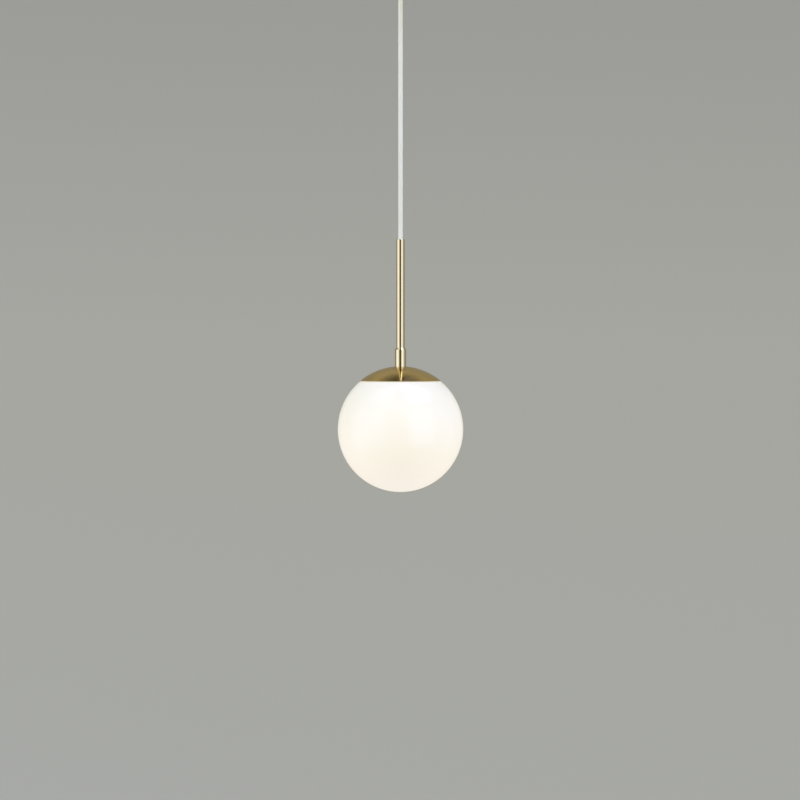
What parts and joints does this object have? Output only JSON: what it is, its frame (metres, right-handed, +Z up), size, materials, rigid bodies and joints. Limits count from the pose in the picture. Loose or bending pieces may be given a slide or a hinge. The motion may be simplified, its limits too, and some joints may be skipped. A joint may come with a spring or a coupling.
{
  "type": "pendant ceiling light",
  "caption": "Pendant ceiling light: opal glass globe under a shallow brass cap, on a slim brass stem and a white cord from a round canopy.",
  "frame": {"origin": "centre of the ceiling bracket's upper face, on the ceiling plane and the lamp's axis", "axes": "+Z up out of the ceiling face, so the lamp hangs at negative z; +X along the bracket; +Y towards the back, where the grub screws are"},
  "size_m": [0.15, 0.15, 0.659],
  "materials": {
    "brushed_brass": "spun and brushed, lacquered",
    "brass_tube": "satin drawn tube",
    "brass_turned": "turned",
    "brass_pressed": "pressed",
    "zinc_steel": "zinc plated",
    "opal_glass": "gloss opal",
    "bulb_glass": "satin opal",
    "clear_glass": "clear",
    "black_glass": "gloss",
    "filament_phosphor": "matt",
    "nickel": "nickel plated",
    "porcelain": "matt",
    "silicone": "translucent white",
    "white_nylon": "satin",
    "connector_nylon": "satin",
    "white_cord": "satin PVC",
    "core_brown": "PVC",
    "core_blue": "PVC",
    "core_green": "PVC, green and yellow"
  },
  "bodies": {
    "ceiling": {"ceiling_bracket": "zinc_steel", "canopy": "brushed_brass", "canopy_screws": "brass_turned", "cord_grip": "white_nylon", "cord_grip_nut": "zinc_steel", "cord_grip_screw": "zinc_steel", "connector_block": "connector_nylon", "connector_inserts": "brass_turned", "connector_screws": "zinc_steel", "connector_fixing_screw": "zinc_steel", "earth_screw": "zinc_steel", "supply_cord": "white_cord", "supply_core_live": "core_brown", "supply_core_neutral": "core_blue", "supply_core_earth": "core_green"},
    "cord_bend": {"cord_bend": "white_cord"},
    "cord": {"cord": "white_cord"},
    "pendant": {"stem": "brass_tube", "stem_bush": "white_nylon", "stem_screw": "zinc_steel", "stem_cord": "white_cord", "collar": "brass_tube", "collar_screw": "zinc_steel", "nipple": "zinc_steel", "cap": "brushed_brass", "cap_washer": "zinc_steel", "cap_nut": "brass_turned", "carrier_spacer": "brass_turned", "globe_carrier": "brass_pressed", "lock_washer": "zinc_steel", "lampholder_dome": "brass_pressed", "lampholder_skirt": "brass_pressed", "contact_block": "porcelain", "screw_shell": "brass_turned", "centre_contact": "brass_turned", "holder_terminals": "brass_turned", "holder_screws": "zinc_steel", "holder_core_live": "core_brown", "holder_core_neutral": "core_blue", "holder_core_earth": "core_green"},
    "globe_gasket": {"shoulder_gasket": "silicone"},
    "globe_seal": {"neck_seal": "silicone"},
    "globe": {"glass_globe": "opal_glass"},
    "bulb_contact": {"bulb_eyelet": "nickel"},
    "bulb": {"bulb_envelope": "bulb_glass", "bulb_cap": "nickel", "bulb_insulator": "black_glass", "filament_mount": "clear_glass", "filaments": "filament_phosphor"}
  },
  "joints": [
    {"name": "swing_sideways", "type": "hinge", "parent": "ceiling", "child": "cord_bend", "pos_m": [0, 0, -0.052], "axis": [0, 1, 0], "range_deg": [-20, 20]},
    {"name": "swing_front_back", "type": "hinge", "parent": "cord_bend", "child": "cord", "pos_m": [0, 0, -0.052], "axis": [1, 0, 0], "range_deg": [-20, 20]},
    {"name": "cord_twist", "type": "hinge", "parent": "cord", "child": "pendant", "pos_m": [0, 0, -0.357], "axis": [0, 0, 1], "range_deg": [-180, 180]},
    {"name": "globe_lower", "type": "slide", "parent": "pendant", "child": "globe_gasket", "axis": [0, 0, -1], "range_m": [0, 0.12]},
    {"name": "globe_thread_travel", "type": "slide", "parent": "globe_gasket", "child": "globe_seal", "axis": [0, 0, -1], "range_m": [0, 0.0041]},
    {"name": "globe_unscrew", "type": "hinge", "parent": "globe_seal", "child": "globe", "pos_m": [0, 0, -0.58403], "axis": [0, 0, -1], "range_deg": [0, 450]},
    {"name": "bulb_thread_travel", "type": "slide", "parent": "pendant", "child": "bulb_contact", "axis": [0, 0, -1], "range_m": [0, 0.0086]},
    {"name": "bulb_unscrew", "type": "hinge", "parent": "bulb_contact", "child": "bulb", "pos_m": [0, 0, -0.58403], "axis": [0, 0, -1], "range_deg": [0, 1080]}
  ],
  "couplings": [
    {"joint": "globe_thread_travel", "follows": "globe_unscrew", "m_per_rad": 0.0005093},
    {"joint": "bulb_thread_travel", "follows": "bulb_unscrew", "m_per_rad": 0.00044882}
  ]
}
